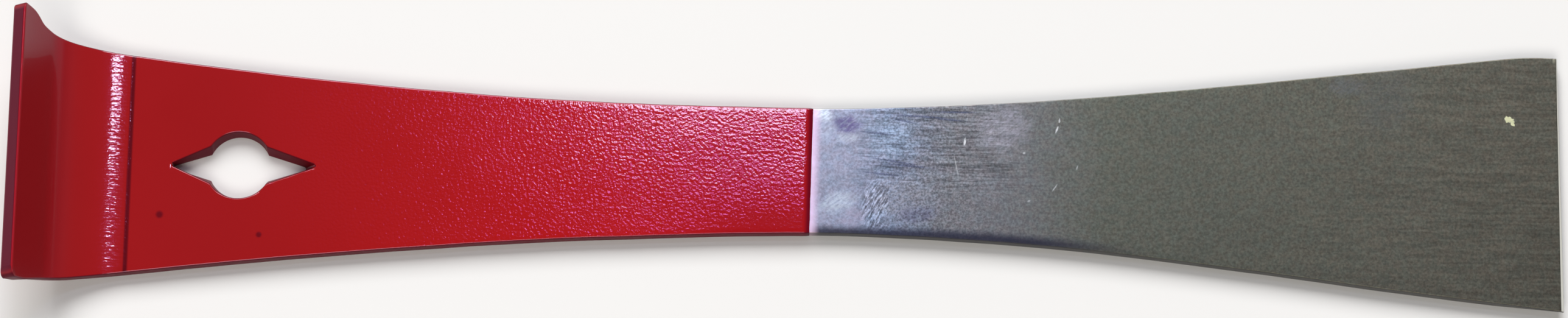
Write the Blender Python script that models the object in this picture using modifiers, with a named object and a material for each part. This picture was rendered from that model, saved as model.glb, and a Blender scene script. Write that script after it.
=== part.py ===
"""Flat pry bar and scraper, 10 inches long.

One strip of spring steel. Its left end turns up into a flared hook with a nail
slot behind it, its middle is a narrow grip, and its right end widens into a
straight scraper blade. A red enamel coat covers the hook half on every side.

Frame: +X runs along the bar from the hook to the blade, +Z is up, the way the
hook points, and the bar lies with its coated underside on Z = 0. The origin is
at the middle of the object's box in X and Y. Lengths are in metres.
"""

from math import asin, atan2, ceil, cos, pi, radians, sin

import bmesh
import bpy
from mathutils import Vector

# The steel strip. X is counted from the line where the hook's bend begins.
STEEL_THICKNESS = 0.0025
BLADE_END_X = 0.2370
EDGE_ROUND = 0.0004

# The plan of the flat blank before it is bent: position along the strip, half
# width, and change of half width per unit of length. The hook's part of the
# blank lies at negative X.
BLANK_OUTLINE = (
    (-0.0250, 0.0230, -0.300),
    (0.0000, 0.0181, -0.121),
    (0.1150, 0.0104, 0.000),
    (0.1780, 0.0149, 0.118),
    (BLADE_END_X, 0.0213, 0.100),
)

# The hook's bend, from the flat towards the tip: radius of the inner face, turn.
BEND_ARCS = ((0.0200, 25.0), (0.0080, 45.0), (0.1000, 5.7))
TIP_BACK_BEVEL = 26.0

# The scraper edge: a long bevel ground on the underside.
BLADE_BEVEL_LENGTH = 0.0110
BLADE_EDGE_THICKNESS = 0.0007

# The nail slot: a round hole with a pointed slot on each side. It is wider in
# the upper face than in the underside, and the blade-side slot most of all.
HOLE_X = 0.0182
HOLE_RADIUS_LOW = 0.0053
HOLE_RADIUS_HIGH = 0.0057
SLOT_REACH_LOW = 0.0110
SLOT_REACH_HIGH_HOOK = 0.0111
SLOT_REACH_HIGH_BLADE = 0.0128
SLOT_ANGLE_LOW = 17.4
SLOT_ANGLE_HIGH_HOOK = 24.5
SLOT_ANGLE_HIGH_BLADE = 19.6
SLOT_TIP_RADIUS = 0.00045
SMALLEST_TIP_RADIUS = 0.0001

# The enamel coat, a thin skin that stands clear of the steel all round.
COAT_END_X = 0.1138
COAT_GAP = 0.0003
COAT_FILM = 0.00015
COAT_STAND_OFF = COAT_GAP + COAT_FILM

# How finely curved stretches are divided, and how far cutters run past a face.
BEND_STEP = 5.0
FLAT_STEP = 0.0060
EDGE_SEGMENTS = 3
HOLE_ARC_SEGMENTS = 14
SLOT_TIP_SEGMENTS = 6
OVERRUN = 0.0030
HOLE_OVERRUN = 0.0010
CUTTER_SIZE = 0.080

STEEL_COLOUR = (0.30, 0.30, 0.29, 1.0)
ENAMEL_COLOUR = (0.42, 0.012, 0.018, 1.0)


def clear_scene():
    for obj in list(bpy.data.objects):
        bpy.data.objects.remove(obj, do_unlink=True)


def new_collection(name):
    collection = bpy.data.collections.new(name)
    bpy.context.scene.collection.children.link(collection)
    return collection


def new_material(name, colour, roughness, metallic):
    material = bpy.data.materials.new(name)
    material.use_nodes = True
    material.diffuse_color = colour
    shader = material.node_tree.nodes["Principled BSDF"]
    shader.inputs["Base Color"].default_value = colour
    shader.inputs["Roughness"].default_value = roughness
    shader.inputs["Metallic"].default_value = metallic
    return material


def half_width(x):
    """Half width of the blank at x, a cubic between neighbouring outline points."""
    spans = list(zip(BLANK_OUTLINE, BLANK_OUTLINE[1:]))
    span = next((pair for pair in spans if x <= pair[1][0]), spans[-1])
    (x0, w0, slope0), (x1, w1, slope1) = span
    if x <= x0:
        return w0 + slope0 * (x - x0)
    length = x1 - x0
    t = (x - x0) / length
    start = (1 + 2 * t) * (1 - t) ** 2 * w0 + t * (1 - t) ** 2 * length * slope0
    end = t * t * (3 - 2 * t) * w1 + t * t * (t - 1) * length * slope1
    return start + end


def bend_point(distance):
    """(x, z, angle) of the inner face, a distance along the hook from the bend's start."""
    x, z, angle = 0.0, STEEL_THICKNESS, 0.0
    left = distance
    for index, (radius, turn) in enumerate(BEND_ARCS):
        step = left / radius
        if index < len(BEND_ARCS) - 1:
            step = min(step, radians(turn))
        x -= radius * (sin(angle + step) - sin(angle))
        z += radius * (cos(angle) - cos(angle + step))
        angle += step
        left -= step * radius
    return x, z, angle


def hook_length():
    return sum(radius * radians(turn) for radius, turn in BEND_ARCS)


def stations(end_x):
    """Positions along the blank, close together in the bend and wider in the flat."""
    places = []
    start = 0.0
    for radius, turn in BEND_ARCS:
        length = radius * radians(turn)
        count = max(ceil(turn / BEND_STEP), ceil(length / (FLAT_STEP / 2)))
        places += [-(start + length * step / count) for step in range(count)]
        start += length
    places += [-start, -(start + OVERRUN)]
    count = ceil(end_x / FLAT_STEP)
    places += [end_x * step / count for step in range(1, count + 1)]
    return sorted(places)


def strip_position(x, y, lift):
    """A point of the blank's upper face, raised by lift, once the hook is bent."""
    if x >= 0:
        return Vector((x, y, STEEL_THICKNESS + lift))
    bent_x, bent_z, angle = bend_point(-x)
    return Vector((bent_x + lift * sin(angle), y, bent_z + lift * cos(angle)))


def boolean(obj, name, cutter):
    modifier = obj.modifiers.new(name, "BOOLEAN")
    modifier.operation = "DIFFERENCE"
    modifier.solver = "EXACT"
    modifier.object = cutter


def new_object(name, mesh, collection, is_cutter):
    obj = bpy.data.objects.new(name, mesh)
    collection.objects.link(obj)
    if is_cutter:
        obj.hide_render = True
        obj.display_type = "WIRE"
    return obj


def slab_mesh(name, places, margin):
    """A flat slab with one row of faces per stretch of the strip, bent into its shape."""
    last = len(places) - 1
    bm = bmesh.new()
    bmesh.ops.create_grid(bm, x_segments=last, y_segments=1, size=0.5)
    raised = bmesh.ops.extrude_face_region(bm, geom=bm.faces[:])["geom"]
    for vert in raised:
        if isinstance(vert, bmesh.types.BMVert):
            vert.co.z = 1.0
    bmesh.ops.recalc_face_normals(bm, faces=bm.faces[:])
    for vert in bm.verts:
        x = places[round((vert.co.x + 0.5) * last)]
        side = 1 if vert.co.y > 0 else -1
        lift = margin if vert.co.z > 0.5 else -STEEL_THICKNESS - margin
        vert.co = strip_position(x, side * (half_width(x) + margin), lift)
    mesh = bpy.data.meshes.new(name)
    bm.to_mesh(mesh)
    bm.free()
    return mesh


def strip_body(name, collection, end_x, margin, is_cutter=False):
    """The bent strip up to end_x, thicker and wider by margin on every side."""
    mesh = slab_mesh(name, stations(end_x), margin)
    obj = new_object(name, mesh, collection, is_cutter)
    edges = obj.modifiers.new("edges", "BEVEL")
    edges.width = EDGE_ROUND + margin
    edges.segments = EDGE_SEGMENTS
    edges.limit_method = "ANGLE"
    edges.angle_limit = radians(40)
    obj.modifiers.new("flat facets", "TRIANGULATE")
    return obj


def block_cutter(name, collection, point, direction):
    """A block whose flat front passes through point and faces against direction."""
    bm = bmesh.new()
    bmesh.ops.create_cube(bm, size=CUTTER_SIZE)
    mesh = bpy.data.meshes.new(name)
    bm.to_mesh(mesh)
    bm.free()
    obj = new_object(name, mesh, collection, is_cutter=True)
    turn = Vector((1, 0, 0)).rotation_difference(direction)
    obj.rotation_mode = "QUATERNION"
    obj.rotation_quaternion = turn
    obj.location = point + direction * (CUTTER_SIZE / 2)
    return obj


def tip_cutter(name, collection, margin):
    """Cuts the hook's end with its back bevel, leaving margin beyond the steel."""
    x, z, angle = bend_point(hook_length())
    tilt = angle - radians(TIP_BACK_BEVEL)
    direction = Vector((-cos(tilt), 0, sin(tilt)))
    return block_cutter(name, collection, Vector((x, 0, z)) + direction * margin, direction)


def blade_cutter(name, collection):
    """Grinds the long bevel on the underside of the blade's end."""
    rise = STEEL_THICKNESS - BLADE_EDGE_THICKNESS
    slope = atan2(rise, BLADE_BEVEL_LENGTH)
    start = Vector((BLADE_END_X - BLADE_BEVEL_LENGTH, 0, 0))
    return block_cutter(name, collection, start, Vector((sin(slope), 0, -cos(slope))))


def slot_end(reach, angle, hole_radius, shrink):
    """(where the slot meets the hole, as a bearing, tip centre, tip radius)."""
    side = (reach - SLOT_TIP_RADIUS) * sin(angle) + SLOT_TIP_RADIUS - shrink
    tip_radius = max(SLOT_TIP_RADIUS - shrink, SMALLEST_TIP_RADIUS)
    tip_centre = (side - tip_radius) / sin(angle)
    return asin(side / hole_radius) - angle, tip_centre, tip_radius


def slot_points(reach, angle, hole_radius, shrink):
    """One slot's outline, pointing along +X, from its lower side round to its upper."""
    _, tip_centre, tip_radius = slot_end(reach, angle, hole_radius, shrink)
    half_turn = pi / 2 - angle
    points = []
    for step in range(SLOT_TIP_SEGMENTS + 1):
        bearing = half_turn * (2 * step / SLOT_TIP_SEGMENTS - 1)
        points.append((tip_centre + tip_radius * cos(bearing), tip_radius * sin(bearing)))
    return points


def arc_points(radius, start, end):
    return [
        (radius * cos(bearing), radius * sin(bearing))
        for bearing in (
            start + (end - start) * step / HOLE_ARC_SEGMENTS
            for step in range(HOLE_ARC_SEGMENTS + 1)
        )
    ]


def keyhole_outline(level, shrink):
    """The nail slot's outline at a level: 0 in the steel's underside, 1 in its upper face."""
    radius = HOLE_RADIUS_LOW + (HOLE_RADIUS_HIGH - HOLE_RADIUS_LOW) * level - shrink
    ends = []
    for reach, angle in (
        (SLOT_REACH_HIGH_BLADE, SLOT_ANGLE_HIGH_BLADE),
        (SLOT_REACH_HIGH_HOOK, SLOT_ANGLE_HIGH_HOOK),
    ):
        level_reach = SLOT_REACH_LOW + (reach - SLOT_REACH_LOW) * level
        level_angle = radians(SLOT_ANGLE_LOW + (angle - SLOT_ANGLE_LOW) * level)
        ends.append((level_reach, level_angle, radius, shrink))
    blade_slot = slot_points(*ends[0])
    hook_slot = [(-x, -y) for x, y in slot_points(*ends[1])]
    blade_bearing = slot_end(*ends[0])[0]
    hook_bearing = slot_end(*ends[1])[0]
    upper_arc = arc_points(radius, blade_bearing, pi - hook_bearing)
    lower_arc = arc_points(radius, pi + hook_bearing, 2 * pi - blade_bearing)
    return blade_slot + upper_arc + hook_slot + lower_arc


def hole_cutter(name, collection, margin):
    """The nail slot as a solid, smaller by margin all round.

    It narrows from the steel's upper face to its underside, and its sides are
    upright beyond both faces.
    """
    below = -margin - HOLE_OVERRUN
    above = STEEL_THICKNESS + margin + HOLE_OVERRUN
    levels = ((below, 0.0), (0.0, 0.0), (STEEL_THICKNESS, 1.0), (above, 1.0))
    bm = bmesh.new()
    rings = [
        [bm.verts.new((HOLE_X + x, y, z)) for x, y in keyhole_outline(level, margin)]
        for z, level in levels
    ]
    bm.faces.new(reversed(rings[0]))
    bm.faces.new(rings[-1])
    for low, high in zip(rings, rings[1:]):
        for index, corner in enumerate(low):
            following = (index + 1) % len(low)
            bm.faces.new((corner, low[following], high[following]))
            bm.faces.new((corner, high[following], high[index]))
    mesh = bpy.data.meshes.new(name)
    bm.to_mesh(mesh)
    bm.free()
    return new_object(name, mesh, collection, is_cutter=True)


def finish_surface(obj, material):
    obj.data.materials.append(material)
    obj.data.shade_smooth()
    obj.data.set_sharp_from_angle(angle=radians(30))


def coated_shape(name, collection, cutters, margin, end_x, is_cutter):
    """The hook half with its hole and tip, larger than the steel by margin."""
    body = strip_body(name, collection, end_x, margin, is_cutter)
    boolean(body, "tip", tip_cutter(name + "_tip_cutter", cutters, margin))
    boolean(body, "nail slot", hole_cutter(name + "_hole_cutter", cutters, margin))
    return body


def make_steel(collection, cutters):
    steel = coated_shape("steel_bar", collection, cutters, 0.0, BLADE_END_X, False)
    boolean(steel, "blade bevel", blade_cutter("blade_bevel_cutter", cutters))
    return steel


def make_coat(collection, cutters):
    """The skin between two enlarged copies of the steel, cut off square at the grip."""
    end_x = COAT_END_X + OVERRUN
    coat = coated_shape("red_enamel_coat", collection, cutters, COAT_STAND_OFF, end_x, False)
    inside = coated_shape("coat_inside", cutters, cutters, COAT_GAP, end_x + OVERRUN, True)
    boolean(coat, "inside", inside)
    end = Vector((COAT_END_X, 0, 0))
    boolean(coat, "end", block_cutter("coat_end_cutter", cutters, end, Vector((1, 0, 0))))
    return coat


def evaluated_box(objects):
    bpy.context.view_layer.update()
    graph = bpy.context.evaluated_depsgraph_get()
    corners = []
    for obj in objects:
        evaluated = obj.evaluated_get(graph)
        corners += [evaluated.matrix_world @ vert.co for vert in evaluated.data.vertices]
    low = Vector(min(corner[axis] for corner in corners) for axis in range(3))
    high = Vector(max(corner[axis] for corner in corners) for axis in range(3))
    return low, high


def stand_on_origin(parts, helpers, collection):
    """Hangs everything on an empty, placed so that the box stands centred on the origin."""
    low, high = evaluated_box(parts)
    frame = bpy.data.objects.new("bar_frame", None)
    collection.objects.link(frame)
    frame.location = (-(low.x + high.x) / 2, -(low.y + high.y) / 2, -low.z)
    for obj in parts + helpers:
        obj.parent = frame


def main():
    clear_scene()
    collection = new_collection("flat_pry_bar")
    cutters = new_collection("cutters")
    steel = make_steel(collection, cutters)
    coat = make_coat(collection, cutters)
    finish_surface(steel, new_material("bare_steel", STEEL_COLOUR, 0.38, 1.0))
    finish_surface(coat, new_material("red_enamel", ENAMEL_COLOUR, 0.30, 0.0))
    stand_on_origin([steel, coat], list(cutters.objects), collection)


main()
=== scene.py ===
"""Looks of a flat pry bar: bare brushed steel blade, hook half dipped in red enamel.

The steel strip and its enamel skin are remade here as finely divided meshes that
replace the two CAD solids and stay inside their box.
Lengths are in metres. "Strip" positions count x along the steel from the line where
the hook's bend begins, y across it, and lift up from its upper face.
"""

from math import asin, cos, exp, pi, radians, sin, sqrt, tan

import bmesh
import bpy
from mathutils import Matrix, Vector, noise


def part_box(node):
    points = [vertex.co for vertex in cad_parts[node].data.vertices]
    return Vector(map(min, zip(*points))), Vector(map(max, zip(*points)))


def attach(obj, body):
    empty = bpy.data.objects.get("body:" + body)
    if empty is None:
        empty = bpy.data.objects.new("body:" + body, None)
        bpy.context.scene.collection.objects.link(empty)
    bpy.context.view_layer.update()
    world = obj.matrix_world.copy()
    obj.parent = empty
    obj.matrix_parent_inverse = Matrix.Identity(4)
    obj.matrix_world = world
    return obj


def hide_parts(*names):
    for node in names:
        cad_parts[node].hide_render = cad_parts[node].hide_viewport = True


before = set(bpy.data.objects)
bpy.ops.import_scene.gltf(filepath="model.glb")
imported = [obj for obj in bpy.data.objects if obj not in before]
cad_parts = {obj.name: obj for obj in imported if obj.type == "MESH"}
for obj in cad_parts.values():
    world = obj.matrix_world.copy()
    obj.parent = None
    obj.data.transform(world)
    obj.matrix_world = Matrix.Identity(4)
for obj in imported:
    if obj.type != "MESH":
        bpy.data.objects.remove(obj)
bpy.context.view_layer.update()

STEEL_LOW, STEEL_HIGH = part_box("steel_bar")

# The strip. Its outline is finer than the CAD solid's, within the same box.
THICKNESS = 0.0025
EDGE_ROUND = 0.00015
BLADE_END = 0.2370
# Half widths of the blank at places along it; its two sides aren't quite alike.
NORTH_OUTLINE = (
    (-0.0250, 0.02335), (-0.0230, 0.02315), (-0.0210, 0.02285), (-0.0196, 0.02230),
    (-0.0180, 0.02140), (-0.0165, 0.02095), (-0.0120, 0.02010), (0.0000, 0.01830),
    (0.0300, 0.01483), (0.0600, 0.01230), (0.0800, 0.01130), (0.1000, 0.01085),
    (0.1200, 0.01083), (0.1500, 0.01240), (0.1800, 0.01520), (0.2100, 0.01855),
    (BLADE_END, 0.02155),
)
SOUTH_OUTLINE = (
    (-0.0250, 0.02200), (-0.0200, 0.02160), (-0.0180, 0.02120), (-0.0120, 0.02005),
    (0.0000, 0.01820), (0.0300, 0.01496), (0.0600, 0.01245), (0.0800, 0.01130),
    (0.1150, 0.01029), (0.1500, 0.01185), (0.1800, 0.01505), (0.2100, 0.01888),
    (BLADE_END, 0.02205),
)
# Limits that keep the flared corners inside the CAD box.
WIDEST_STEEL = 0.0229
WIDEST_COAT = 0.0235
# Slight unevenness of the sides: its depth, how fast its noise runs, and a row of it for each.
SIDE_WOBBLE = 0.00004
SIDE_WOBBLE_RATE = 160
NORTH_NOISE_ROW = 7.0
SOUTH_NOISE_ROW = 3.0
# Slight waves of the upper face: their height, and how fast they run along and across.
FACE_WAVES = 0.000012
FACE_WAVE_RATES = (95, 130)

# The hook: its bend as arcs, each a radius and a turn in degrees, and its ground end.
BEND_ARCS = ((0.0200, 25.0), (0.0080, 45.0), (0.1000, 5.7))
TIP_BACK_BEVEL = radians(26.0)
TIP_BEVEL_REACH = 0.004
TIP_FACE_TILT = radians(sum(turn for _, turn in BEND_ARCS)) - TIP_BACK_BEVEL
TIP_CORNER_NORTH = 0.0008
TIP_CORNER_SOUTH = 0.0014

# The blade: a long bevel underneath, a fine one on top, and one worn corner.
BLADE_BEVEL = 0.0110
BLADE_EDGE = 0.0007
WORN_CORNER_LENGTH = 0.0080
WORN_CORNER_DEPTH = 0.00080
WORN_CORNER_CURVE = 1.7
HONED_WIDTH_NORTH = 0.00022
HONED_WIDTH_SOUTH = 0.00052
HONED_SLOPE = tan(radians(24.0))
HONED_LEAN = (HONED_WIDTH_SOUTH - HONED_WIDTH_NORTH) / (2 * SOUTH_OUTLINE[-1][1])
HONED_START = BLADE_END - (HONED_WIDTH_SOUTH + HONED_WIDTH_NORTH) / 2

# The die mark across the upper face where the bend begins.
CREASE_X = 0.00018
CREASE_WIDTH = 0.00022
CREASE_DEPTH = 0.000020

# The nail slot. Each pair is its size in the underside and in the upper face.
HOLE_X = 0.0182
HOLE_RADIUS = (0.0053, 0.0057)
HOOK_SLOT_REACH = (0.0110, 0.0111)
HOOK_SLOT_ANGLE = (radians(17.4), radians(24.5))
BLADE_SLOT_REACH = (0.0110, 0.0128)
BLADE_SLOT_ANGLE = (radians(17.4), radians(19.6))
SLOT_TIP_RADIUS = 0.00045
SMALLEST_TIP_RADIUS = 0.0001

# The slot's rounded rims: how far the rounding turns, and how the cutter goes on past it.
RIM_TURN = radians(72)
RIM_SINK = 0.00001
RIM_BEYOND = 0.0006
STEEL_RIM_ROUND = 0.0002
COAT_RIM_ROUND = 0.00025

# Roundings of the two ends, and limits on the rounding of thin edges.
STEEL_TIP_ROUND = 0.00025
COAT_TIP_ROUND = 0.00045
BLADE_END_ROUND = 0.00006
LEAST_ROUND = 0.00003
MOST_ROUND_SHARE = 0.42

# The enamel.
COAT_END = 0.1130
COAT_FILM = 0.00012
COAT_UNDER_GAP = 0.00002
COAT_EDGE_SKEW = 0.020
COAT_EDGE_TAPER = 0.0011
COAT_EDGE_THINNING = 0.75
COAT_LEAN_REACH = 0.008
COAT_RAGGEDNESS = 0.00006
COAT_RAGGED_RATE = 700

# How finely the meshes are divided. The finest steps reach FINE_REACH from the die mark
# and from the blade's edge.
FLAT_STEP = 0.0015
BEND_STEP = 0.0006
FINE_STEP = 0.00018
FINE_REACH = 0.0008
TOP_STEPS = 30
CORNER_STEPS = 4
SIDE_STEPS = 3
ROUND_STEPS = 4
ARC_STEPS = 26
SLOT_TIP_STEPS = 6


# Shape of the strip

ORIGIN = Vector((STEEL_HIGH.x - BLADE_END, 0, STEEL_LOW.z))


def slope_at(outline, index):
    """Slope of an outline at one of its points, from the points on either side."""
    (x0, w0), (x1, w1) = outline[max(index - 1, 0)], outline[min(index + 1, len(outline) - 1)]
    return (w1 - w0) / (x1 - x0)


def half_width(x, outline):
    """Half width of one side at x, a cubic between neighbouring outline points."""
    starts = [index for index, point in enumerate(outline[:-1]) if point[0] <= x]
    index = starts[-1] if starts else 0
    (x0, w0), (x1, w1) = outline[index], outline[index + 1]
    length = x1 - x0
    t = (x - x0) / length
    start = (1 + 2 * t) * (1 - t) ** 2 * w0
    start += t * (1 - t) ** 2 * length * slope_at(outline, index)
    end = t * t * (3 - 2 * t) * w1 + t * t * (t - 1) * length * slope_at(outline, index + 1)
    return start + end


def bend_point(distance):
    """(x, z, angle) of the inner face, a distance along the hook from the bend's start."""
    x, z, angle = 0.0, THICKNESS, 0.0
    left = distance
    for index, (radius, turn) in enumerate(BEND_ARCS):
        step = left / radius
        if index < len(BEND_ARCS) - 1:
            step = min(step, radians(turn))
        x -= radius * (sin(angle + step) - sin(angle))
        z += radius * (cos(angle) - cos(angle + step))
        angle += step
        left -= step * radius
    return x, z, angle


HOOK_LENGTH = sum(radius * radians(turn) for radius, turn in BEND_ARCS)
TIP_X = -HOOK_LENGTH


def place(x, y, lift):
    """The point of the finished bar for a strip position."""
    if x >= 0:
        return ORIGIN + Vector((x, y, THICKNESS + lift))
    bent_x, bent_z, angle = bend_point(-x)
    return ORIGIN + Vector((bent_x + lift * sin(angle), y, bent_z + lift * cos(angle)))


def smooth(value, low, high):
    t = min(max((value - low) / (high - low), 0.0), 1.0)
    return t * t * (3 - 2 * t)


def rounded_off(distance, radius):
    """How far a rounded corner pulls the side in, a distance from the end."""
    if distance >= radius:
        return 0.0
    return radius - sqrt(max(radius ** 2 - (radius - max(distance, 0.0)) ** 2, 0.0))


def side_width(x, is_north):
    """Half width on one side, with the rounded hook corners and the worn blade corner."""
    corner = TIP_CORNER_NORTH if is_north else TIP_CORNER_SOUTH
    outline = NORTH_OUTLINE if is_north else SOUTH_OUTLINE
    width = half_width(max(x, TIP_X), outline) - rounded_off(x - TIP_X, corner)
    if is_north and x > BLADE_END - WORN_CORNER_LENGTH:
        worn = (x - BLADE_END + WORN_CORNER_LENGTH) / WORN_CORNER_LENGTH
        width -= WORN_CORNER_DEPTH * worn ** WORN_CORNER_CURVE
    row = NORTH_NOISE_ROW if is_north else SOUTH_NOISE_ROW
    return width + SIDE_WOBBLE * noise.noise(Vector((x * SIDE_WOBBLE_RATE, row, 0.5)))


def strip_thickness(x):
    """The strip's thickness, less toward the blade's edge, where the underside is ground."""
    ground = max(x - (BLADE_END - BLADE_BEVEL), 0.0) / BLADE_BEVEL
    return THICKNESS - (THICKNESS - BLADE_EDGE) * ground


def upper_relief(x, y):
    """Small height changes of the upper face: die mark, honed edge and slight waves."""
    mark = exp(-(((x - CREASE_X) / CREASE_WIDTH) ** 2))
    honed = max(x - y * HONED_LEAN - HONED_START, 0.0) * HONED_SLOPE
    along_rate, across_rate = FACE_WAVE_RATES
    waves = FACE_WAVES * noise.noise(Vector((x * along_rate, y * across_rate, 1.0)))
    return waves - CREASE_DEPTH * mark - honed


def section(x, outset):
    """(y, lift) round the strip's section at x, grown by outset on every side."""
    top, bottom = outset, -strip_thickness(x) - outset
    radius = min(EDGE_ROUND + outset, MOST_ROUND_SHARE * (top - bottom))
    radius = max(radius, LEAST_ROUND)
    widest = WIDEST_COAT if outset > 0 else WIDEST_STEEL
    north = min(side_width(x, True) + outset, widest)
    south = -min(side_width(x, False) + outset, widest)
    corners = (
        (north - radius, top - radius, 90),
        (north - radius, bottom + radius, 0),
        (south + radius, bottom + radius, -90),
        (south + radius, top - radius, 180),
    )
    points = []
    for index, (y, lift, start) in enumerate(corners):
        for step in range(CORNER_STEPS + 1):
            bearing = radians(start - 90 * step / CORNER_STEPS)
            points.append((y + radius * cos(bearing), lift + radius * sin(bearing)))
        next_y, next_lift, next_start = corners[(index + 1) % len(corners)]
        target = (
            next_y + radius * cos(radians(next_start)),
            next_lift + radius * sin(radians(next_start)),
        )
        last = points[-1]
        count = SIDE_STEPS if index % 2 == 0 else TOP_STEPS
        for step in range(1, count):
            share = step / count
            y_here = last[0] + (target[0] - last[0]) * share
            lift_here = last[1] + (target[1] - last[1]) * share
            points.append((y_here, lift_here))
    return points


def spread(start, end, step):
    """Even places from start on, about a step apart; end itself is left out."""
    count = max(round((end - start) / step), 1)
    return [start + (end - start) * index / count for index in range(count)]


def end_rounding(radius):
    """(how far short of the end, how far in) for the rings that round an end's rim."""
    rings = []
    for step in range(ROUND_STEPS + 1):
        bearing = pi / 2 * step / ROUND_STEPS
        rings.append((radius * (1 - sin(bearing)), radius * (1 - cos(bearing))))
    return rings


def tip_rings(radius, outset):
    """Rings from the hook's end to where its corners stop."""
    end = TIP_X - outset
    rings = [(end + short, inset) for short, inset in reversed(end_rounding(radius))]
    start = end + radius + FINE_STEP
    return rings + [(x, 0.0) for x in spread(start, TIP_X + TIP_CORNER_SOUTH, FINE_STEP)]


def middle_rings(end):
    """Rings round the bend, finely over the die mark, and along the flat up to end."""
    stretches = (
        (TIP_X + TIP_CORNER_SOUTH, -FINE_REACH, BEND_STEP),
        (-FINE_REACH, FINE_REACH, FINE_STEP / 2),
        (FINE_REACH, end, FLAT_STEP),
    )
    places = [x for start, stop, step in stretches for x in spread(start, stop, step)]
    return [(x, 0.0) for x in places]


def loft(name, rings, outset_at, shift_at):
    """A closed mesh through the sections at rings, each (x, inset), ends capped."""
    bm = bmesh.new()
    loops = []
    for x, inset in rings:
        beveled = 1 - smooth(x, TIP_X, TIP_X + TIP_BEVEL_REACH)
        loop = []
        for y, lift in section(x, outset_at(x) - inset):
            slanted = x - lift * tan(TIP_BACK_BEVEL) * beveled + shift_at(x, y)
            relief = upper_relief(x, y) * smooth(lift, -THICKNESS / 3, 0)
            loop.append(bm.verts.new(place(slanted, y, lift + relief)))
        loops.append(loop)
    for near, far in zip(loops, loops[1:]):
        for index, corner in enumerate(near):
            following = (index + 1) % len(near)
            bm.faces.new((corner, far[index], far[following], near[following]))
    bm.faces.new(loops[0])
    bm.faces.new(reversed(loops[-1]))
    bmesh.ops.recalc_face_normals(bm, faces=bm.faces[:])
    mesh = bpy.data.meshes.new(name)
    bm.to_mesh(mesh)
    bm.free()
    obj = bpy.data.objects.new(name, mesh)
    bpy.context.scene.collection.objects.link(obj)
    return obj


# The nail slot

def slot_end(reach, angle, hole_radius, shrink):
    """(where the slot meets the hole, as a bearing, tip centre, tip radius)."""
    side = (reach - SLOT_TIP_RADIUS) * sin(angle) + SLOT_TIP_RADIUS - shrink
    tip_radius = max(SLOT_TIP_RADIUS - shrink, SMALLEST_TIP_RADIUS)
    return asin(side / hole_radius) - angle, (side - tip_radius) / sin(angle), tip_radius


def slot_points(reach, angle, hole_radius, shrink):
    """Points round the tip of a slot that points along x."""
    _, tip_centre, tip_radius = slot_end(reach, angle, hole_radius, shrink)
    half_turn = pi / 2 - angle
    points = []
    for step in range(SLOT_TIP_STEPS + 1):
        bearing = half_turn * (2 * step / SLOT_TIP_STEPS - 1)
        points.append((tip_centre + tip_radius * cos(bearing), tip_radius * sin(bearing)))
    return points


def arc_points(radius, start, end):
    turns = [start + (end - start) * step / ARC_STEPS for step in range(ARC_STEPS + 1)]
    return [(radius * cos(turn), radius * sin(turn)) for turn in turns]


def between(pair, level):
    return pair[0] + (pair[1] - pair[0]) * level


def keyhole_outline(level, shrink):
    """The slot's outline at a level: 0 in the steel's underside, 1 in its upper face."""
    radius = between(HOLE_RADIUS, level) - shrink
    blade_end = (between(BLADE_SLOT_REACH, level), between(BLADE_SLOT_ANGLE, level))
    hook_end = (between(HOOK_SLOT_REACH, level), between(HOOK_SLOT_ANGLE, level))
    blade_slot = slot_points(*blade_end, radius, shrink)
    hook_slot = [(-x, -y) for x, y in slot_points(*hook_end, radius, shrink)]
    blade_bearing = slot_end(*blade_end, radius, shrink)[0]
    hook_bearing = slot_end(*hook_end, radius, shrink)[0]
    upper_arc = arc_points(radius, blade_bearing, pi - hook_bearing)
    lower_arc = arc_points(radius, pi + hook_bearing, 2 * pi - blade_bearing)
    return blade_slot + upper_arc + hook_slot + lower_arc


def rim_rings(face_z, outset, rim_round, side):
    """(z, shrink) for the rings that round the slot's rim at one face of the bar."""
    reach = rim_round * sin(RIM_TURN)
    rings = []
    for step in range(ROUND_STEPS + 1):
        bearing = RIM_TURN * step / ROUND_STEPS
        z = face_z + side * (rim_round * sin(bearing) - reach - RIM_SINK)
        rings.append((z, outset - rim_round * (1 - cos(bearing))))
    z, shrink = rings[-1]
    rings.append((z + side * RIM_BEYOND * cos(RIM_TURN), shrink - RIM_BEYOND * sin(RIM_TURN)))
    return rings


def cut_nail_slot(obj, outset, rim_round):
    """Cuts the slot, with rounded rims, through a piece grown by outset."""
    low = rim_rings(-outset, outset, rim_round, -1)
    high = rim_rings(THICKNESS + outset, outset, rim_round, 1)
    bm = bmesh.new()
    rings = []
    for z, shrink in list(reversed(low)) + high:
        level = min(max(z / THICKNESS, 0.0), 1.0)
        outline = keyhole_outline(level, shrink)
        rings.append([bm.verts.new(ORIGIN + Vector((HOLE_X + x, y, z))) for x, y in outline])
    bm.faces.new(reversed(rings[0]))
    bm.faces.new(rings[-1])
    for near, far in zip(rings, rings[1:]):
        for index, corner in enumerate(near):
            following = (index + 1) % len(near)
            bm.faces.new((corner, near[following], far[following]))
            bm.faces.new((corner, far[following], far[index]))
    mesh = bpy.data.meshes.new("slot_cutter")
    bm.to_mesh(mesh)
    bm.free()
    cutter = bpy.data.objects.new("slot_cutter", mesh)
    bpy.context.scene.collection.objects.link(cutter)
    modifier = obj.modifiers.new("nail slot", "BOOLEAN")
    modifier.operation = "DIFFERENCE"
    modifier.solver = "EXACT"
    modifier.object = cutter
    bake_modifiers(obj)
    bpy.data.objects.remove(cutter, do_unlink=True)


def bake_modifiers(obj):
    bpy.context.view_layer.update()
    graph = bpy.context.evaluated_depsgraph_get()
    finished = bpy.data.meshes.new_from_object(obj.evaluated_get(graph))
    obj.modifiers.clear()
    obj.data = finished


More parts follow.
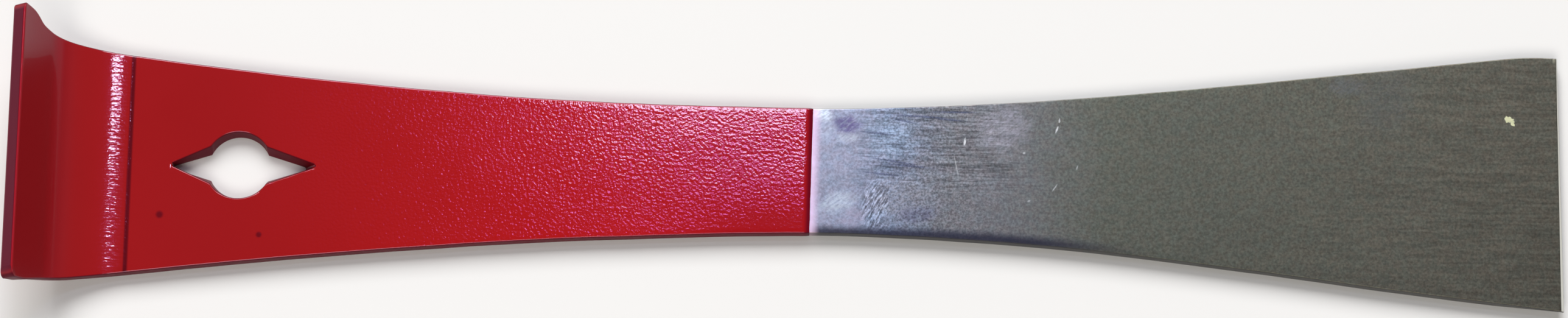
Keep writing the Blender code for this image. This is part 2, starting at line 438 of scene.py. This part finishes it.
def shade(obj, material):
    obj.data.materials.clear()
    obj.data.materials.append(material)
    obj.data.shade_smooth()
    obj.data.set_sharp_from_angle(angle=radians(50))
    weighted = obj.modifiers.new("flat faces stay flat", "WEIGHTED_NORMAL")
    weighted.keep_sharp = True
    weighted.weight = 80


# The two pieces

def make_steel():
    start = BLADE_END - FINE_REACH
    rings = tip_rings(STEEL_TIP_ROUND, 0.0) + middle_rings(start)
    edge_places = spread(start, BLADE_END - BLADE_END_ROUND, FINE_STEP / 3)
    rings += [(x, 0.0) for x in edge_places]
    rings += [(BLADE_END - short, inset) for short, inset in end_rounding(BLADE_END_ROUND)]
    steel = loft("bare_steel_bar", rings, lambda x: 0.0, lambda x, y: 0.0)
    cut_nail_slot(steel, 0.0, STEEL_RIM_ROUND)
    return steel


def coat_outset(x):
    """The film's thickness, less toward the painted edge."""
    taper = max(x - (COAT_END - COAT_EDGE_TAPER), 0.0) / COAT_EDGE_TAPER
    return COAT_FILM * (1 - COAT_EDGE_THINNING * taper ** 2)


def coat_edge_shift(x, y):
    """Leans and roughens the painted edge, which isn't quite square to the bar."""
    near_end = smooth(x, COAT_END - COAT_LEAN_REACH, COAT_END)
    ragged = COAT_RAGGEDNESS * noise.noise(Vector((y * COAT_RAGGED_RATE, 2.0, 9.0)))
    return near_end * (COAT_EDGE_SKEW * y + ragged)


def make_coat():
    start = COAT_END - COAT_EDGE_TAPER
    rings = tip_rings(COAT_TIP_ROUND, COAT_FILM) + middle_rings(start)
    rings += [(x, 0.0) for x in spread(start, COAT_END, FINE_STEP)] + [(COAT_END, 0.0)]
    coat = loft("red_enamel_skin", rings, coat_outset, coat_edge_shift)
    cut_nail_slot(coat, COAT_FILM, COAT_RIM_ROUND)
    open_painted_end(coat)
    skin = coat.modifiers.new("film", "SOLIDIFY")
    skin.thickness = COAT_FILM - COAT_UNDER_GAP
    skin.offset = -1.0
    bake_modifiers(coat)
    return coat


def open_painted_end(coat):
    """Takes away the flat cap at the painted edge, so that the film is a sleeve."""
    bm = bmesh.new()
    bm.from_mesh(coat.data)
    edge_x = ORIGIN.x + COAT_END
    caps = [
        face for face in bm.faces
        if face.normal.x > 0.9 and abs(face.calc_center_median().x - edge_x) < 0.001
    ]
    bmesh.ops.delete(bm, geom=caps, context="FACES_ONLY")
    bm.to_mesh(coat.data)
    bm.free()


# Materials

# How far below the upper face a patch of colour reaches.
PATCH_DEPTH = 0.0015


class Shader:
    """A Principled material and short calls for the nodes that feed it.

    Every position that its calls take is a strip position, but without the bend: on the
    hook, x stays level and lift stays upright.
    """

    def __init__(self, name):
        self.material = bpy.data.materials.new(name)
        self.material.use_nodes = True
        self.tree = self.material.node_tree
        self.surface = self.tree.nodes["Principled BSDF"]
        coordinates = self.tree.nodes.new("ShaderNodeTexCoord")
        self.normal = coordinates.outputs["Normal"]
        self.position = coordinates.outputs["Object"]
        self.position = self.mapped("POINT", -ORIGIN - Vector((0, 0, THICKNESS)))

    def put(self, socket, value):
        if isinstance(value, bpy.types.NodeSocket):
            self.tree.links.new(value, socket)
        else:
            socket.default_value = value

    def set(self, name, value):
        self.put(self.surface.inputs[name], value)

    def math(self, operation, first, second=0.0):
        node = self.tree.nodes.new("ShaderNodeMath")
        node.operation = operation
        self.put(node.inputs[0], first)
        self.put(node.inputs[1], second)
        return node.outputs[0]

    def centred(self, noise_value, size):
        """A noise brought to swing round 0, size wide."""
        return self.math("MULTIPLY", self.math("SUBTRACT", noise_value, 0.5), size)

    def mapped(self, kind, location, angle=0.0, scale=(1.0, 1.0, 1.0)):
        node = self.tree.nodes.new("ShaderNodeMapping")
        node.vector_type = kind
        self.put(node.inputs["Vector"], self.position)
        node.inputs["Location"].default_value = location
        node.inputs["Rotation"].default_value = (0.0, 0.0, angle)
        node.inputs["Scale"].default_value = scale
        return node.outputs[0]

    def noise(self, size, angle=0.0, detail=2.0, roughness=0.5):
        """Cloudy values round 0.5; size is the length of one wave, per axis."""
        node = self.tree.nodes.new("ShaderNodeTexNoise")
        shift = Vector(size) * 7.3
        self.put(node.inputs["Vector"], self.mapped("TEXTURE", shift, radians(angle), size))
        node.inputs["Scale"].default_value = 1.0
        node.inputs["Detail"].default_value = detail
        node.inputs["Roughness"].default_value = roughness
        return node.outputs["Fac"]

    def coordinate(self, axis):
        node = self.tree.nodes.new("ShaderNodeSeparateXYZ")
        self.put(node.inputs[0], self.position)
        return node.outputs[axis]

    def along(self):
        return self.coordinate("X")

    def across(self):
        return self.coordinate("Y")

    def straightened(self, x, y, lean):
        """x, corrected for an edge across the bar that leans."""
        return self.math("SUBTRACT", x, self.math("MULTIPLY", y, lean))

    def facing(self, direction, low, high):
        """Rises from 0 to 1 as the surface turns to face this way."""
        node = self.tree.nodes.new("ShaderNodeVectorMath")
        node.operation = "DOT_PRODUCT"
        self.put(node.inputs[0], self.normal)
        node.inputs[1].default_value = direction
        return self.ramp(node.outputs["Value"], low, high)

    def on_sides(self):
        """1 on the side walls, the nail slot's among them."""
        north = self.facing((0, 1, 0), 0.25, 0.7)
        south = self.facing((0, -1, 0), 0.25, 0.7)
        return self.math("MAXIMUM", north, south)

    def on_top(self, low, high):
        return self.facing((0, 0, 1), low, high)

    def ramp(self, value, low, high, to_low=0.0, to_high=1.0):
        node = self.tree.nodes.new("ShaderNodeMapRange")
        node.interpolation_type = "SMOOTHSTEP"
        self.put(node.inputs["Value"], value)
        node.inputs["From Min"].default_value = low
        node.inputs["From Max"].default_value = high
        node.inputs["To Min"].default_value = to_low
        node.inputs["To Max"].default_value = to_high
        return node.outputs["Result"]

    def mix(self, share, first, second, blend="MIX"):
        node = self.tree.nodes.new("ShaderNodeMix")
        node.data_type = "RGBA"
        node.blend_type = blend
        self.put(node.inputs["Factor"], share)
        self.put(node.inputs["A"], first)
        self.put(node.inputs["B"], second)
        return node.outputs["Result"]

    def patch(self, centre, radii, angle=0.0, soft=0.5, ragged=None):
        """1 inside an oval on the upper face, 0 outside; ragged is a noise to warp it."""
        place_in = self.mapped("TEXTURE", (*centre, 0.0), radians(angle), (*radii, PATCH_DEPTH))
        node = self.tree.nodes.new("ShaderNodeVectorMath")
        node.operation = "LENGTH"
        self.put(node.inputs[0], place_in)
        distance = node.outputs["Value"]
        if ragged is not None:
            distance = self.math("ADD", distance, self.centred(ragged, 1.6))
        return self.ramp(distance, 1 - soft, 1 + soft, 1.0, 0.0)

    def bump(self, height, distance, below=None):
        node = self.tree.nodes.new("ShaderNodeBump")
        node.inputs["Strength"].default_value = 1.0
        node.inputs["Distance"].default_value = distance
        self.put(node.inputs["Height"], height)
        if below is not None:
            self.put(node.inputs["Normal"], below)
        return node.outputs["Normal"]


def even(size):
    """A noise size that is the same on every axis."""
    return (size, size, size)


# Enamel colours. Each pair is the two ends of a cloudy mix. The crimsons hold painted light and
# shade; the darker tones below them are painted shade.
CRIMSON_SHADED_BY_HOOK = ((0.322, 0.0072, 0.0086, 1), (0.358, 0.0090, 0.0110, 1))
CRIMSON_LIT_MIDDLE = ((0.412, 0.0072, 0.0080, 1), (0.458, 0.0094, 0.0104, 1))
CRIMSON_SHADED_BY_STEEL = (0.300, 0.0040, 0.0090, 1)
CREASE_SHADE_PAINT = (0.06, 0.0010, 0.0060, 1)
ENAMEL_EDGE_SHADE = (0.100, 0.0015, 0.0110, 1)
SIDE_SHADE_PAINT = (0.070, 0.0020, 0.0050, 1)
NIB_SHADE_PAINT = (0.070, 0.0010, 0.0080, 1)
TIP_SHADE_PAINT = (0.125, 0.0020, 0.0140, 1)

# Enamel relief: heights, the size of a brush ripple with its height, and nibs with radius.
WAVE_HEIGHT = 0.000004
PEEL_HEIGHT = 0.000012
PAINT_EDGE_HEIGHT = 0.00011
NIB_HEIGHT = 0.00001
RIPPLES = (((0.0017, 0.00040, 0.0017), 0.000015), ((0.0007, 0.00050, 0.0007), 0.000014))
PAINT_NIBS = (((0.0055, -0.0085), 0.00038), ((0.0220, -0.0117), 0.00030))

# How strongly the peel shows under the clear film, and in it.
PEEL_UNDER_FILM = 2.85
PEEL_IN_FILM = 1.25


def enamel_colour(shader, cloudy):
    """Crimson with painted light and shade: darker by the hook, a little brighter along the
    middle of the bar, and darker again toward the steel.
    """
    x, y = shader.along(), shader.across()
    shaded_by_hook = shader.mix(cloudy, *CRIMSON_SHADED_BY_HOOK)
    middle = shader.mix(cloudy, *CRIMSON_LIT_MIDDLE)
    colour = shader.mix(shader.ramp(x, 0.010, 0.070), shaded_by_hook, middle)
    colour = shader.mix(shader.ramp(x, 0.080, 0.106, 0.0, 0.5), colour, CRIMSON_SHADED_BY_STEEL)
    return add_enamel_shade(shader, colour, x, y)


def add_enamel_shade(shader, colour, x, y):
    """Adds painted shade: dark lines in the die mark and along the painted edge, and darker
    sides, nibs and hook end.
    """
    # Painted shade in the die mark's groove.
    from_crease = shader.math("ABSOLUTE", shader.math("SUBTRACT", x, CREASE_X))
    crease_shade = shader.ramp(from_crease, 0.00015, 0.00055, 0.8, 0.0)
    crease_shade = shader.math("MULTIPLY", crease_shade, shader.on_top(0.2, 0.6))
    skewed = shader.straightened(x, y, COAT_EDGE_SKEW)
    colour = shader.mix(crease_shade, colour, CREASE_SHADE_PAINT)
    # Painted shade where the sheen fades at the painted edge.
    edge_shade = shader.ramp(skewed, COAT_END - 0.0011, COAT_END - 0.0002, 0.0, 0.85)
    colour = shader.mix(edge_shade, colour, ENAMEL_EDGE_SHADE)
    # Painted shade on the side walls, the nail slot's among them.
    sides = shader.math("MULTIPLY", shader.on_sides(), 0.75)
    colour = shader.mix(sides, colour, SIDE_SHADE_PAINT)
    # Painted shade on the nibs.
    for centre, radius in PAINT_NIBS:
        around = (radius * 1.5, radius * 1.5)
        nib_shade = shader.math("MULTIPLY", shader.patch(centre, around), 0.7)
        colour = shader.mix(nib_shade, colour, NIB_SHADE_PAINT)
    # Painted shade on the hook's ground end face.
    tip_shade = shader.facing((-cos(TIP_FACE_TILT), 0, sin(TIP_FACE_TILT)), 0.93, 0.98)
    return shader.mix(tip_shade, colour, TIP_SHADE_PAINT)


def enamel_relief(shader, strength):
    """Orange peel of this strength, with brush ripples in the bend and nibs on the flat."""
    waves = shader.bump(shader.noise(even(0.0030), detail=1), WAVE_HEIGHT)
    x = shader.along()
    peel = shader.noise(even(0.00050), detail=1, roughness=0.5)
    peel = shader.math("MULTIPLY", peel, shader.ramp(x, 0.0, 0.060, 0.15, 1.0))
    peel = shader.math("MULTIPLY", peel, smooth_corner(shader, 0.35))
    normal = shader.bump(peel, strength * PEEL_HEIGHT, waves)
    by_crease = shader.math(
        "MULTIPLY", shader.ramp(x, -0.0064, -0.0040), shader.ramp(x, 0.0002, 0.0004, 1.0, 0.0)
    )
    for size, height in RIPPLES:
        ripples = shader.math("MULTIPLY", shader.noise(size, detail=1), by_crease)
        normal = shader.bump(ripples, height, normal)
    # The film slopes down toward the painted edge, so that end never glints.
    skewed = shader.straightened(x, shader.across(), COAT_EDGE_SKEW)
    sloped = shader.ramp(skewed, COAT_END - 0.0016, COAT_END + 0.0010, 1.0, 0.0)
    normal = shader.bump(sloped, PAINT_EDGE_HEIGHT, normal)
    for centre, radius in PAINT_NIBS:
        normal = shader.bump(shader.patch(centre, (radius, radius)), NIB_HEIGHT, normal)
    return normal


def smooth_corner(shader, level):
    """1, falling to level where the paint dried smooth in one corner of its end."""
    corner = shader.patch((0.1120, -0.0120), (0.0180, 0.0062), 0, 0.95)
    return shader.ramp(corner, 0.0, 1.0, 1.0, level)


def enamel_gloss(shader):
    """1 in the bend, less along the flat and the hook, least on the side walls."""
    on_hook = shader.ramp(shader.along(), -0.0115, -0.0070, 0.28, 1.0)
    on_flat = shader.ramp(shader.along(), 0.005, 0.085, 1.0, 0.60)
    by_place = shader.math("MULTIPLY", on_hook, on_flat)
    off_sides = shader.ramp(shader.on_sides(), 0.0, 1.0, 1.0, 0.08)
    return shader.math("MULTIPLY", by_place, off_sides)


def enamel_roughness(shader, cloudy, glossy):
    """Low on the flat, a little more in the bend, and satin where the gloss is low."""
    satin = shader.ramp(glossy, 0.10, 0.55, 0.55, 0.0)
    smooth_film = shader.ramp(cloudy, 0.3, 0.7, 0.100, 0.123)
    smooth_film = shader.math("MULTIPLY", smooth_film, smooth_corner(shader, 0.6))
    x = shader.along()
    in_bend = shader.math(
        "MULTIPLY", shader.ramp(x, -0.0100, -0.0060), shader.ramp(x, -0.0010, 0.0, 1.0, 0.0)
    )
    in_bend = shader.ramp(in_bend, 0.0, 1.0, 1.0, 1.3)
    smooth_film = shader.math("MULTIPLY", smooth_film, in_bend)
    return shader.math("MAXIMUM", smooth_film, satin)


def red_enamel():
    shader = Shader("red_enamel")
    cloudy = shader.noise(even(0.022), detail=3)
    shader.set("Base Color", enamel_colour(shader, cloudy))
    shader.set("Normal", enamel_relief(shader, PEEL_UNDER_FILM))
    shader.set("Coat Normal", enamel_relief(shader, PEEL_IN_FILM))
    glossy = enamel_gloss(shader)
    shader.set("Roughness", enamel_roughness(shader, cloudy, glossy))
    shader.set("Coat Weight", glossy)
    shader.set("Specular IOR Level", 0.39)
    shader.set("Specular Tint", (1.0, 0.25, 0.78, 1.0))
    shader.set("Coat Roughness", 0.06)
    shader.set("Coat IOR", 1.62)
    return shader.material


# Worn places on the steel's upper face: centre, half sizes, angle, strength and colour. The
# first, palest one, by the paint's north corner, is partly a painted highlight.
WORN_PLACES = (
    ((0.1147, 0.0097), (0.0014, 0.0012), 0, 1.0, (0.62, 0.68, 0.74, 1)),
    ((0.1152, 0.0074), (0.0016, 0.0024), 0, 0.5, (0.40, 0.43, 0.50, 1)),
    ((0.1190, 0.0081), (0.0021, 0.0014), -8, 1.0, (0.120, 0.105, 0.195, 1)),
    ((0.1174, -0.0051), (0.0030, 0.0016), 18, 0.75, (0.42, 0.46, 0.50, 1)),
    ((0.1190, 0.0058), (0.0018, 0.0008), 0, 0.6, (0.42, 0.45, 0.48, 1)),
    ((0.1198, -0.0078), (0.0018, 0.0017), 0, 0.5, (0.33, 0.29, 0.36, 1)),
    ((0.1258, 0.0060), (0.0042, 0.0030), 0, 0.55, (0.205, 0.260, 0.320, 1)),
    ((0.1447, 0.0077), (0.0040, 0.0032), 10, 0.7, (0.265, 0.255, 0.275, 1)),
    ((0.1310, 0.0012), (0.0050, 0.0009), -4, 0.5, (0.125, 0.115, 0.125, 1)),
    ((0.1276, -0.0042), (0.0046, 0.0034), -10, 0.5, (0.225, 0.210, 0.215, 1)),
    ((0.1306, -0.0070), (0.0030, 0.0013), 5, 0.7, (0.085, 0.085, 0.125, 1)),
    ((0.2085, 0.0139), (0.0060, 0.0040), 70, 0.35, (0.140, 0.150, 0.150, 1)),
    ((0.2020, 0.0155), (0.0030, 0.0016), 0, 0.5, (0.170, 0.180, 0.185, 1)),
)

# Dark brush lines among them: centre, half length and angle in degrees.
DARK_STREAKS = (
    ((0.1238, 0.0067), 0.0028, -5),
    ((0.1269, 0.0019), 0.0038, -9),
    ((0.1289, 0.0012), 0.0034, -5),
    ((0.1311, 0.0096), 0.0048, -3),
    ((0.1366, 0.0104), 0.0034, 0),
    ((0.1246, -0.0002), 0.0027, -6),
    ((0.1284, 0.0088), 0.0018, -12),
    ((0.1360, 0.0091), 0.0020, -4),
)
DARK_STREAK_HALF_WIDTH = 0.00016

# Bright dashes on the same face: centre, half sizes, angle in degrees and strength.
SCRATCHES = (
    ((0.1384, 0.0054), (0.00050, 0.00016), 84, 0.95),
    ((0.1537, 0.0077), (0.00055, 0.00013), 68, 0.9),
    ((0.1541, 0.0092), (0.00040, 0.00011), 85, 0.7),
    ((0.1533, -0.0022), (0.00070, 0.00011), 55, 0.55),
    ((0.1370, 0.0012), (0.00190, 0.00008), 101, 0.35),
    ((0.1482, 0.0036), (0.00018, 0.00016), 0, 0.5),
    ((0.1570, 0.0012), (0.00040, 0.00010), 70, 0.4),
    ((0.1490, -0.0045), (0.00024, 0.00015), 30, 0.4),
)

# A pale fleck near the blade's edge, as two ovals: centre, half sizes and angle.
FLECK = (
    ((0.22880, 0.0102), (0.00078, 0.00052), -25),
    ((0.22930, 0.0095), (0.00045, 0.00024), -42),
)

# Steel colours. The dark edge and side tones are painted shade, the blush is a painted pale halo
# of light, and the honed tone is partly a painted highlight.
OLIVE_GREY = ((0.109, 0.111, 0.086, 1), (0.170, 0.162, 0.128, 1))
STREAK_TONE = (0.070, 0.080, 0.125, 1)
LOWER_EDGE_SHADE_TONE = (0.026, 0.026, 0.043, 1)
STEEL_SIDE_SHADE_TONE = (0.05, 0.05, 0.055, 1)
PALE_HALO_LIGHT = (0.66, 0.48, 0.60, 1)
SCRATCH_TONE = (0.60, 0.60, 0.56, 1)
FLECK_TONE = (1.0, 1.0, 0.62, 1)
HONED_TONE_AND_HIGHLIGHT = (0.80, 0.80, 0.74, 1)

# Height of the steel's grain and brush marks.
GRAIN_HEIGHT = 0.000003

# The waist, and how the painted shade along the lower edge follows the blank as it widens from
# there.
WAIST_X = 0.115
WAIST_HALF_WIDTH = 0.0104
WAIST_FLARE = 1.13


def steel_zones_and_reflection(shader, x, drift):
    """Olive grey mill finish far out, grey nearer, then a pale bluish band by the paint; the run
    from dark to pale is partly painted reflection of the bluish lights.
    """
    warped = shader.math("ADD", x, shader.centred(drift, 0.010))
    colour = shader.mix(shader.ramp(x, 0.160, BLADE_END), *OLIVE_GREY)
    zones = (
        (0.140, 0.164, (0.143, 0.141, 0.142, 1)),
        (0.125, 0.137, (0.160, 0.183, 0.229, 1)),
        (0.119, 0.126, (0.240, 0.250, 0.305, 1)),
    )
    for full, gone, zone_colour in zones:
        colour = shader.mix(shader.ramp(warped, full, gone, 1.0, 0.0), colour, zone_colour)
    return colour


def mill_finish_and_reflection(shader, x):
    """The steel's zones, partly painted reflection, mottled and tinged warm and cool."""
    drift = shader.noise((0.0070, 0.0045, 0.0045), detail=4, roughness=0.65)
    colour = steel_zones_and_reflection(shader, x, drift)
    mottle = shader.noise(even(0.00045), detail=2, roughness=0.6)
    colour = shader.mix(1.0, colour, shader.ramp(mottle, 0.25, 0.75, 0.78, 1.22), "MULTIPLY")
    tinge = shader.mix(
        shader.ramp(shader.noise(even(0.0011), detail=3), 0.35, 0.65),
        (1.035, 0.99, 0.98, 1),
        (0.965, 1.01, 1.02, 1),
    )
    return shader.mix(1.0, colour, tinge, "MULTIPLY")


def add_worn_places(shader, colour, ragged):
    """Adds the pale, dark and tinted places by the paint, hatched with fine scratches."""
    hatches = shader.noise((0.0011, 0.00030, 0.0011), 35, detail=2, roughness=0.6)
    hatched = shader.ramp(hatches, 0.36, 0.60, 0.35, 1.0)
    for centre, radii, angle, strength, tone in WORN_PLACES:
        mask = shader.patch(centre, radii, angle, 0.45, ragged)
        mask = shader.math("MULTIPLY", mask, hatched)
        colour = shader.mix(shader.math("MULTIPLY", mask, strength), colour, tone)
    return colour


def add_brush_lines(shader, colour, x, y, ragged):
    """Adds broad and fine streaks along the bar, and the dark lines among them."""
    fine_streaks = shader.noise((0.0040, 0.00034, 0.00034), -3, detail=2, roughness=0.6)
    streaks = shader.noise((0.0080, 0.00050, 0.00050), 2, detail=3, roughness=0.65)
    streaked = shader.ramp(x, 0.118, 0.125)
    streaked = shader.math("MULTIPLY", streaked, shader.ramp(x, 0.138, 0.155, 1.0, 0.0))
    streaked = shader.math("MULTIPLY", streaked, shader.ramp(y, -0.0045, -0.0010))
    broad_tone = shader.ramp(streaks, 0.32, 0.56, 0.64, 1.10)
    colour = shader.mix(streaked, colour, broad_tone, "MULTIPLY")
    fine_tone = shader.ramp(fine_streaks, 0.34, 0.60, 0.72, 1.18)
    colour = shader.mix(streaked, colour, fine_tone, "MULTIPLY")
    for centre, half_length, angle in DARK_STREAKS:
        half_sizes = (half_length, DARK_STREAK_HALF_WIDTH)
        mark = shader.patch(centre, half_sizes, angle, 0.6, ragged)
        colour = shader.mix(shader.math("MULTIPLY", mark, 0.75), colour, STREAK_TONE)
    return colour


def add_strokes_and_speckle(shader, colour, x, ragged):
    """Adds slanting strokes not far from the paint, and speckle that fades along the blade."""
    strokes = shader.noise((0.0013, 0.00030, 0.0013), 62, detail=2, roughness=0.6)
    stroked = shader.patch((0.1236, -0.0056), (0.0020, 0.0042), 0, 0.5, ragged)
    stroke_tone = shader.ramp(strokes, 0.40, 0.64, 0.55, 1.9)
    colour = shader.mix(stroked, colour, stroke_tone, "MULTIPLY")
    speckle = shader.noise(even(0.00034), detail=2, roughness=0.7)
    speckled = shader.math(
        "MULTIPLY", shader.ramp(x, 0.119, 0.127, 0.2, 0.9), shader.ramp(x, 0.130, 0.150, 1.0, 0.3)
    )
    speckle_tone = shader.ramp(speckle, 0.32, 0.66, 0.62, 1.5)
    return shader.mix(speckled, colour, speckle_tone, "MULTIPLY")


def add_edge_shade(shader, colour, x, y, ragged):
    """Darkens the steel with painted shade by its lower edge, and on its sides."""
    # The blank widens with the square of the way from its waist, so the painted shade along the
    # edge does too.
    from_waist = shader.math("SUBTRACT", x, WAIST_X)
    squared = shader.math("MULTIPLY", from_waist, from_waist)
    flare = shader.math("MULTIPLY", squared, WAIST_FLARE)
    from_edge = shader.math("ADD", shader.math("ADD", y, flare), WAIST_HALF_WIDTH)
    from_edge = shader.math("ADD", from_edge, shader.centred(ragged, 0.0008))
    edge_shade = shader.ramp(from_edge, 0.0004, 0.0020, 0.9, 0.0)
    by_waist = shader.ramp(x, 0.148, 0.172, 1.0, 0.0)
    lower_edge_shade = shader.math("MULTIPLY", edge_shade, by_waist)
    colour = shader.mix(lower_edge_shade, colour, LOWER_EDGE_SHADE_TONE)
    return shader.mix(shader.math("MULTIPLY", shader.on_sides(), 0.7), colour, STEEL_SIDE_SHADE_TONE)


def add_wear_and_edge_shade(shader, colour, x, y):
    """Adds everything that sets the steel nearest the paint apart from plain mill finish: wear
    and brush marks, and painted shade by the lower edge and on the sides.
    """
    ragged = shader.noise((0.0020, 0.0011, 0.0011), 20, detail=5, roughness=0.8)
    colour = add_worn_places(shader, colour, ragged)
    colour = add_brush_lines(shader, colour, x, y, ragged)
    colour = add_strokes_and_speckle(shader, colour, x, ragged)
    return add_edge_shade(shader, colour, x, y, ragged)


def mark_steel(shader, colour, x, y):
    """Adds a painted pale halo of light beside the paint, the scratches, the fleck and the honed
    edge, whose pale tone is partly a painted highlight.
    """
    skewed = shader.straightened(x, y, COAT_EDGE_SKEW)
    # A painted pale halo of light on the steel beside the paint.
    pale_halo = shader.ramp(skewed, COAT_END, COAT_END + 0.0018, 0.90, 0.0)
    colour = shader.mix(pale_halo, colour, PALE_HALO_LIGHT)
    ragged = shader.noise(even(0.0005), detail=3)
    for centre, radii, angle, strength in SCRATCHES:
        scratch = shader.patch(centre, radii, angle, 0.5, ragged)
        colour = shader.mix(shader.math("MULTIPLY", scratch, strength), colour, SCRATCH_TONE)
    for centre, radii, angle in FLECK:
        fleck = shader.patch(centre, radii, angle, 0.12, ragged)
        colour = shader.mix(fleck, colour, FLECK_TONE)
    # The honed facet's pale tone is partly a painted highlight.
    return shader.mix(honed_edge(shader, x, y), colour, HONED_TONE_AND_HIGHLIGHT)


def honed_edge(shader, x, y):
    """1 on the narrow facet ground along the top of the blade's edge."""
    past_start = shader.math("SUBTRACT", shader.straightened(x, y, HONED_LEAN), HONED_START)
    on_facet = shader.ramp(past_start, 0.0, 0.0001)
    return shader.math("MULTIPLY", on_facet, shader.on_top(0.5, 0.8))


def bare_steel():
    shader = Shader("bare_steel")
    x, y = shader.along(), shader.across()
    colour = mill_finish_and_reflection(shader, x)
    colour = add_wear_and_edge_shade(shader, colour, x, y)
    colour = mark_steel(shader, colour, x, y)
    shader.set("Base Color", colour)
    brushed = shader.noise((0.0060, 0.00038, 0.00038), detail=3, roughness=0.6)
    honed = honed_edge(shader, x, y)
    scuffed = shader.math("MULTIPLY", honed, 0.62)
    rolled = shader.ramp(brushed, 0.3, 0.7, 0.29, 0.35)
    shader.set("Roughness", shader.math("MAXIMUM", rolled, scuffed))
    # The honed facet is partly matt and pale in colour, partly a painted highlight, which gives
    # it the photograph's thin pale line.
    shader.set("Metallic", shader.ramp(honed, 0.0, 1.0, 1.0, 0.35))
    grain = shader.bump(shader.noise(even(0.00030), detail=2), GRAIN_HEIGHT)
    shader.set("Normal", shader.bump(brushed, GRAIN_HEIGHT, grain))
    return shader.material


# Lights: place, size, watts and colour. The two bluish strips make the glint in the bend
# and the sheen on both sides of the painted edge.
STRIP_WEST = ((0.070, 0.393, 1.382), (0.104, 0.070), 0.54, (0.75, 0.80, 1.0))
STRIP_EAST = ((0.174, 0.374, 1.382), (0.104, 0.074), 0.57, (0.75, 0.80, 1.0))
KEY = ((-0.05, 1.60, 1.60), (1.6, 1.4), 53.0, (1.0, 0.99, 0.98))
FILL = ((-0.15, -1.20, 1.70), (1.2, 1.0), 17.0, (1.0, 0.95, 0.88))

# Brightness of the surround, from the horizon up to overhead.
SKY = ((0.0, 0.30), (0.10, 0.16), (0.45, 0.16), (0.80, 0.06), (1.0, 0.04))

# The floor. It lies just under the enamel. A wider one shows a dark band in low views.
FLOOR_HALF_WIDTH = 1.7
FLOOR_GAP = 0.00001
FLOOR_PALE = ((0.86, 0.86, 0.86, 1), (0.90, 0.90, 0.90, 1))
FLOOR_GLANCING = (0.45, 0.45, 0.46, 1)


def add_light(name, position, size, watts, colour):
    data = bpy.data.lights.new(name, "AREA")
    data.shape = "RECTANGLE"
    data.size, data.size_y = size
    data.energy = watts
    data.color = colour
    light = bpy.data.objects.new(name, data)
    bpy.context.scene.collection.objects.link(light)
    light.location = ORIGIN + Vector(position)
    towards = Vector(position) - Vector((BLADE_END / 2 - HOOK_LENGTH / 2, 0, 0))
    light.rotation_mode = "QUATERNION"
    light.rotation_quaternion = towards.to_track_quat("Z", "Y")
    return light


def add_floor():
    """A pale floor, darker where it is seen at a low angle."""
    bm = bmesh.new()
    bmesh.ops.create_grid(bm, x_segments=8, y_segments=8, size=FLOOR_HALF_WIDTH)
    mesh = bpy.data.meshes.new("floor")
    bm.to_mesh(mesh)
    bm.free()
    floor = bpy.data.objects.new("floor", mesh)
    bpy.context.scene.collection.objects.link(floor)
    floor.location.z = STEEL_LOW.z - COAT_FILM - FLOOR_GAP
    shader = Shader("pale_floor")
    tone = shader.noise(even(0.33), detail=2)
    pale = shader.mix(tone, *FLOOR_PALE)
    glancing = shader.tree.nodes.new("ShaderNodeLayerWeight").outputs["Facing"]
    dim = shader.ramp(glancing, 0.06, 0.32)
    shader.set("Base Color", shader.mix(dim, pale, FLOOR_GLANCING))
    shader.set("Roughness", 0.8)
    floor.data.materials.append(shader.material)


def set_world():
    """A plain surround, pale at the horizon and dim overhead."""
    world = bpy.data.worlds.new("studio")
    bpy.context.scene.world = world
    world.use_nodes = True
    tree = world.node_tree
    position = tree.nodes.new("ShaderNodeTexCoord").outputs["Generated"]
    split = tree.nodes.new("ShaderNodeSeparateXYZ")
    tree.links.new(position, split.inputs[0])
    ramp = tree.nodes.new("ShaderNodeValToRGB")
    tree.links.new(split.outputs["Z"], ramp.inputs[0])
    stops = ramp.color_ramp.elements
    stops[1].position = SKY[-1][0]
    while len(stops) < len(SKY):
        stops.new(0.5)
    for stop, (height, level) in zip(stops, SKY):
        stop.position = height
        stop.color = (level, level, 0.98 * level, 1)
    tree.links.new(ramp.outputs["Color"], tree.nodes["Background"].inputs["Color"])


# The camera, at the photograph's angle. Its target is counted from the bend's start, at the
# height of the steel's underside.
CAMERA_TARGET = Vector((0.108469, 0.002679, 0))
CAMERA_DISTANCE = 0.70815
CAMERA_TILT = radians(12.5)
CAMERA_ROLL = radians(0.671)
CAMERA_LENS_MM = 97.83
SENSOR_WIDTH_MM = 36.0


def add_camera():
    data = bpy.data.cameras.new("camera")
    data.sensor_width = SENSOR_WIDTH_MM
    data.lens = CAMERA_LENS_MM
    data.clip_start = 0.01
    camera = bpy.data.objects.new("camera", data)
    bpy.context.scene.collection.objects.link(camera)
    turn = Matrix.Rotation(CAMERA_TILT, 4, "X") @ Matrix.Rotation(CAMERA_ROLL, 4, "Z")
    back = turn @ Vector((0, 0, CAMERA_DISTANCE))
    camera.matrix_world = Matrix.Translation(ORIGIN + CAMERA_TARGET + back) @ turn
    bpy.context.scene.camera = camera


def main():
    steel = make_steel()
    shade(steel, bare_steel())
    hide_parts("steel_bar")
    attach(steel, "root")
    coat = make_coat()
    shade(coat, red_enamel())
    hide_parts("red_enamel_coat")
    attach(coat, "root")
    add_floor()
    set_world()
    add_light("strip_west", *STRIP_WEST)
    add_light("strip_east", *STRIP_EAST)
    add_light("key", *KEY)
    add_light("fill", *FILL)
    add_camera()
    bpy.context.scene.view_settings.view_transform = "Standard"


main()
